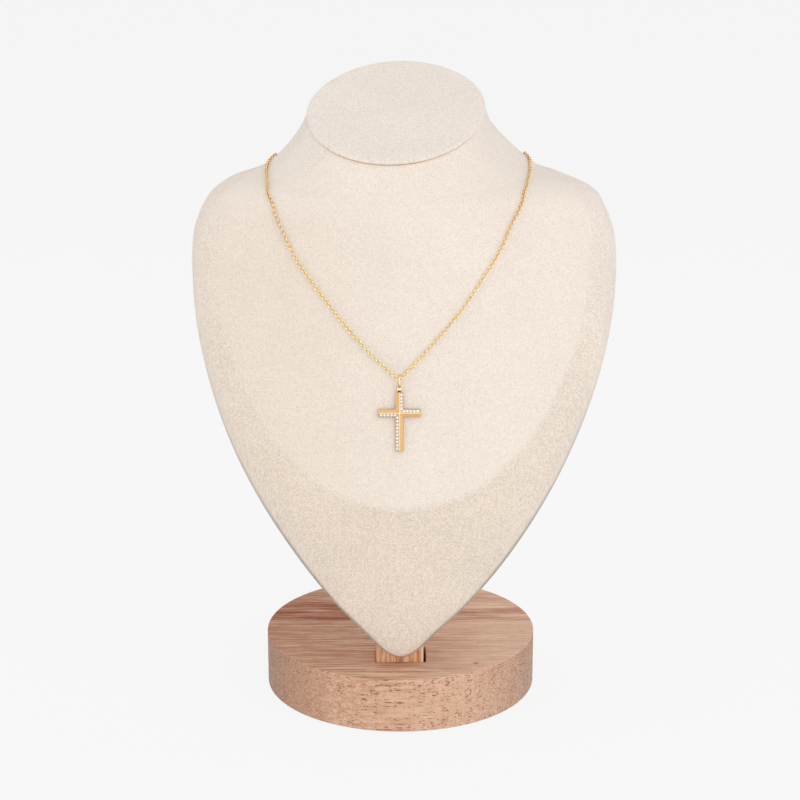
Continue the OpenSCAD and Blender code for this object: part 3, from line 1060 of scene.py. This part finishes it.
def make_cap_seam():
    """The thin brown edge between the cap and the neck."""
    middle = even_ring(NECK_LEVEL, SEAM_OUT)[0][:-1]
    away = even_ring(NECK_LEVEL, SEAM_OUT + 1.0)[0][:-1] - middle
    centre = middle + NECK_NORMAL * SEAM_RISE
    sides = [centre + away * x + NECK_NORMAL * z for x, z in circle(SEAM_R, SEAM_SIDES)]
    rings = np.stack(sides, 1)
    faces = ring_faces(*rings.shape[:2]).tolist()
    made = solid("cap_seam", rings.reshape(-1, 3), faces, [seam_line("cap_seam")])
    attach(made, "stand")


# Foot and post

def make_base():
    profile = [(BASE_D / 2 - inset, rise) for inset, rise in rounding(BASE_ROUND)]
    profile += [(r, BASE_T - z) for r, z in reversed(profile)]
    rings = [[(x, y, z) for x, y in circle(r, BASE_SIDES)] for r, z in profile]
    made = solid("base_wood", *loft(rings), [foot_wood("base_wood")])
    levels = [BASE_T - MORTISE_DEPTH, BASE_T - MORTISE_EDGE, BASE_T + CUT_MARGIN]
    grow = [0, 0, MORTISE_EDGE + CUT_MARGIN]
    tool = box_rings(-MORTISE_W / 2, MORTISE_W / 2, POST_FRONT - FIT, POST_BACK + FIT, levels, grow)
    combine(made, solid("mortise", *loft(tool)), "DIFFERENCE")
    crisp(made, 40)
    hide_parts("base")
    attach(made, "stand")


def make_post():
    made = solid("post_wood", *loft(post_rings(0)), [post_wood("post_wood")])
    crisp(rounded(made, POST_ROUND), 60)
    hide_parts("post")
    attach(made, "stand")


# Chain

def route():
    """The chain's route from one end of the clasp round the front to the other."""
    section = columns(np.array([CLASP_LEVEL]))[0]
    end = math.degrees(math.acos((CLASP_HALF / section[HALF]) ** (section[NB] / 2)))
    start = (180 - end, CLASP_LEVEL, 0)
    finish = (360 + end, CLASP_LEVEL, 0)
    return np.array([start, *ROUTE_LEFT, ROUTE_APEX, *ROUTE_RIGHT, finish])


def catmull(p, q, r, s, t):
    """Point at t on the smooth curve from q to r, between p and s."""
    return 0.5 * (2 * q + (r - p) * t + (2 * p - 5 * q + 4 * r - s) * t**2
                  + (3 * q - p - 3 * r + s) * t**3)


def twist(run):
    """Slow twist of the chain at lengths along it, in degrees."""
    turn = run * math.tau / TWIST_LENGTH
    return LINK_TWIST * np.sin(turn + TWIST_PHASE) * np.cos(turn * SWELL_RATE + SWELL_PHASE)


def chain_line():
    """Points along the chain's middle, and the linen's direction under each."""
    knots = route()
    last = len(knots) - 1
    u = np.linspace(0, last, last * ROUTE_STEPS + 1)
    i = np.minimum(u.astype(int), last - 1)
    before = knots[np.maximum(i - 1, 0)]
    after = knots[np.minimum(i + 2, last)]
    way, level, lift = catmull(before, knots[i], knots[i + 1], after, (u - i)[:, None]).T
    away = bust_normal(way, level)
    place = bust_point(way, level)
    half_wide = (CHAIN_D - LINK_WIRE) / 2
    steepest = np.radians(LINK_TURN + np.abs(twist(lengths_along(place))))
    lie = LINK_GAP + LINK_WIRE / 2 + half_wide * np.sin(np.minimum(steepest, math.pi / 2))
    full = CHAIN_D / 2 + CHAIN_GAP + APEX_LIFT
    height = lie + lift * (full - lie) / APEX_LIFT
    return place + away * height[:, None], away


def apex_point():
    way, level, lift = ROUTE_APEX
    return bust_point(way, level) + bust_normal(way, level) * (CHAIN_D / 2 + CHAIN_GAP + lift)


def link_shape():
    """One oval link along X, its width along Y, and how far each point looks outwards."""
    a = (np.arange(LINK_TURNS) * math.tau / LINK_TURNS)[:, None]
    b = (np.arange(WIRE_TURNS) * math.tau / WIRE_TURNS)[None, :]
    half_long = (LINK_LENGTH - LINK_WIRE) / 2
    half_wide = (CHAIN_D - LINK_WIRE) / 2
    lean = unit(np.stack([half_wide * np.cos(a), half_long * np.sin(a)], -1))
    wire = LINK_WIRE / 2
    x = half_long * np.cos(a) + wire * np.cos(b) * lean[..., 0]
    y = half_wide * np.sin(a) + wire * np.cos(b) * lean[..., 1]
    z = wire * np.sin(b) + 0 * a
    outside = np.broadcast_to(np.cos(b), x.shape).ravel()
    return np.stack([x, y, z], -1).reshape(-1, 3), ring_faces(LINK_TURNS, WIRE_TURNS), outside


def link_frames():
    """Middle of each link, and its directions along, across and through it."""
    line, away = chain_line()
    run = lengths_along(line)
    end = run[-1]
    count = round((end + 2 * LINK_REACH) / LINK_PITCH) + 1
    at = np.linspace(-LINK_REACH, end + LINK_REACH, count)
    inside = np.clip(at, 0, end)
    ahead = at_lengths(line, run, np.minimum(inside + LINK_LOOK, end))
    behind = at_lengths(line, run, np.maximum(inside - LINK_LOOK, 0))
    along = unit(ahead - behind)
    centres = at_lengths(line, run, inside) + along * (at - inside)[:, None]
    across = unit(np.cross(at_lengths(away, run, inside), along))
    up = np.cross(along, across)
    random = np.random.default_rng(7)
    turn = np.where(np.arange(count) % 2 == 0, LINK_TURN, -LINK_TURN)
    turn = turn + twist(inside) + random.uniform(-LINK_JITTER, LINK_JITTER, count)
    turn = np.radians(turn)[:, None]
    wide = across * np.cos(turn) + up * np.sin(turn)
    return centres, np.stack([along, wide, np.cross(along, wide)], 1)


def make_chain():
    centres, frames = link_frames()
    points, faces, outside = link_shape()
    links = np.einsum("pk,nkc->npc", points, frames) + centres[:, None]
    every = faces[None] + (np.arange(len(centres)) * len(points))[:, None, None]
    made = solid("chain_links", links.reshape(-1, 3), every.reshape(-1, 4).tolist(),
                 [chain_plate("chain_gold")])
    # How far each corner of the wire faces outwards, for the gold's painted highlight and shade
    wire_outside = np.tile(outside, len(centres))[corner_points(made)] * 0.5 + 0.5
    keep_map(made, "wire_outside", np.stack([wire_outside, wire_outside], -1))
    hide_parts("chain")
    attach(made, "stand")


# Cross

def crossing_frame():
    """Place of the cross's crossing, its Y pointing back through the cross."""
    lean = math.radians(CROSS_LEAN)
    pivot = apex_point() - RING_SIDE * np.array([0, math.sin(lean), math.cos(lean)])
    drop = Matrix.Translation((0, 0, -EYE_DROP - CROSSING_DROP))
    return Matrix.Translation(pivot) @ Matrix.Rotation(-lean, 4, "X") @ drop


def placed(points, matrix):
    turn = np.array(matrix)[:3, :3]
    return np.asarray(points, float) @ turn.T + np.array(matrix)[:3, 3]


def arms_shape():
    """The four ridged arms as one closed shape of flat faces."""
    half = ARM_W / 2
    points = [(0, -RIDGE_FRONT, 0)]
    corners = [(half, half), (half, -half), (-half, -half), (-half, half)]
    points += [(x, -EDGE_FRONT, z) for x, z in corners]
    points += [(x, CROSS_BACK, z) for x, z in corners]
    faces = [(5, 6, 7, 8)]
    arms = [((0, 1), ARM_UP), ((1, 0), ARM_SIDE), ((0, -1), ARM_DOWN), ((-1, 0), ARM_SIDE)]
    for k, ((dx, dz), length) in enumerate(arms):
        x, z = dx * length, dz * length
        start = len(points)
        points.append((x, -RIDGE_FRONT, z))
        for y in (-EDGE_FRONT, CROSS_BACK):
            points += [(x + way * dz * half, y, z - way * dx * half) for way in (-1, 1)]
        ridge, left_front, right_front, left_back, right_back = range(start, start + 5)
        inner_right, inner_left = 1 + k, 1 + (k + 3) % 4
        faces += [
            (0, ridge, right_front, inner_right),
            (0, inner_left, left_front, ridge),
            (ridge, left_front, left_back, right_back, right_front),
            (inner_right, right_front, right_back, inner_right + 4),
            (inner_left, inner_left + 4, left_back, left_front),
            (inner_left + 4, inner_right + 4, right_back, left_back),
        ]
    return points, faces


def eye_rings():
    """Rings of the eye along Y, a rounded round plate drawn out downwards."""
    steps = [(inset, rise - EYE_T / 2) for inset, rise in rounding(EYE_ROUND)]
    steps += [(inset, -y) for inset, y in reversed(steps)]
    rings = [(circle(EYE_D / 2 - inset, EYE_SIDES), y) for inset, y in steps]
    return [[(x, y, CROSSING_DROP + z - EYE_END * (z < 0)) for x, z in ring]
            for ring, y in rings]


def bore_rings():
    steps = [(-EYE_T / 2 - out, wider) for out, wider in BORE_FLARE]
    steps += [(-y, wider) for y, wider in reversed(steps)]
    return [[(x, y, CROSSING_DROP + z) for x, z in circle(EYE_BORE / 2 + wider, BORE_SIDES)]
            for y, wider in steps]


def waist_rings():
    """The short neck that joins the eye to the upper arm."""
    low = ARM_UP - WAIST_ROOT
    high = ARM_UP + EYE_TO_CROSS - EYE_END - EYE_D / 2 + WAIST_ROOT
    return box_rings(-WAIST_W / 2, WAIST_W / 2, WAIST_FRONT, WAIST_BACK, [low, high])


def face_frame(place, turn):
    """Frame on an arm's face, its Z pointing out of the face."""
    turned = Matrix.Rotation(turn[1], 4, "Z") @ Matrix.Rotation(turn[0], 4, "X")
    forward = Matrix.Rotation(math.pi / 2, 4, "X")
    return Matrix.Translation((place[0], -STONE_FRONT, place[1])) @ turned @ forward


def stone_places(offset=0):
    """Frame and step of each stone, or of the spot that share of a step after it."""
    for count, first, step, turn in STONE_ROWS:
        for k in range(count):
            place = (first[0] + (k + offset) * step[0], first[1] + (k + offset) * step[1])
            yield face_frame(place, turn), step


def joined(shapes):
    """Points and faces of several shapes as one."""
    points = []
    faces = []
    for shape_points, shape_faces in shapes:
        faces += [[len(points) + v for v in face] for face in shape_faces]
        points += shape_points.tolist()
    return points, faces


def seats_shape():
    rings = [[(x, y, z) for x, y in circle(SEAT_D / 2, SEAT_SIDES)] for z in (-SEAT_DEPTH, SEAT_RISE)]
    points, faces = loft(rings)
    return joined((placed(points, matrix), faces) for matrix, step in stone_places())


def make_cross():
    made = solid("cross_gold", *arms_shape(), [cross_plate("cross_gold")])
    rounded(made, CROSS_ROUND, segments=4, angle=12.0)
    eye = solid("eye", *loft(eye_rings()))
    combine(eye, solid("bore", *loft(bore_rings())), "DIFFERENCE")
    combine(made, eye, "UNION")
    combine(made, solid("waist", *loft(waist_rings())), "UNION")
    combine(made, solid("seats", *seats_shape()), "DIFFERENCE")
    places = np.array([v.co for v in made.data.vertices]) / MM
    keep_map(made, "plan", places[corner_points(made)][:, (X, Z)])
    made.data.transform(Matrix.Scale(MM, 4) @ crossing_frame() @ Matrix.Scale(1 / MM, 4))
    crisp(made, 35)
    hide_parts("cross")
    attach(made, "pendant")


def grain_shapes():
    """Two beads halfway between each stone and the next, one on either side of the row."""
    bead = bmesh.new()
    bmesh.ops.create_icosphere(bead, subdivisions=2, radius=GRAIN_R)
    points = np.array([v.co for v in bead.verts])
    faces = [[v.index for v in f.verts] for f in bead.faces]
    bead.free()
    crossing = crossing_frame()
    for matrix, step in stone_places(offset=0.5):
        beside = unit(np.array([step[1], step[0], 0.0]))
        for side in (-GRAIN_SIDE, GRAIN_SIDE):
            yield placed(placed(points + beside * side, matrix), crossing), faces


def make_grains():
    """Beads of gold raised between the stones to hold them."""
    plate = plated("grains", rgb(214, 202, 190), 0.2)
    made = mesh_object("cross_grains", *joined(grain_shapes()), [plate])
    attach(made, "pendant")


def dress_cad_nodes():
    """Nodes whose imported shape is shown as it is."""
    looks = {"jump_ring": plated("ring_gold", rgb(255, 216, 142), 0.16),
             "clasp": plated("clasp_gold", rgb(250, 206, 130), 0.2)}
    stone = clear_stone("stone")
    for name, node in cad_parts.items():
        look = stone if name.startswith("stone_") else looks.get(name)
        if look:
            node.data.materials.clear()
            node.data.materials.append(look)


make_camera()
make_world()
make_lights()
make_floor()
make_bust()
make_cap()
make_cap_seam()
make_base()
make_post()
make_chain()
make_cross()
make_grains()
dress_cad_nodes()
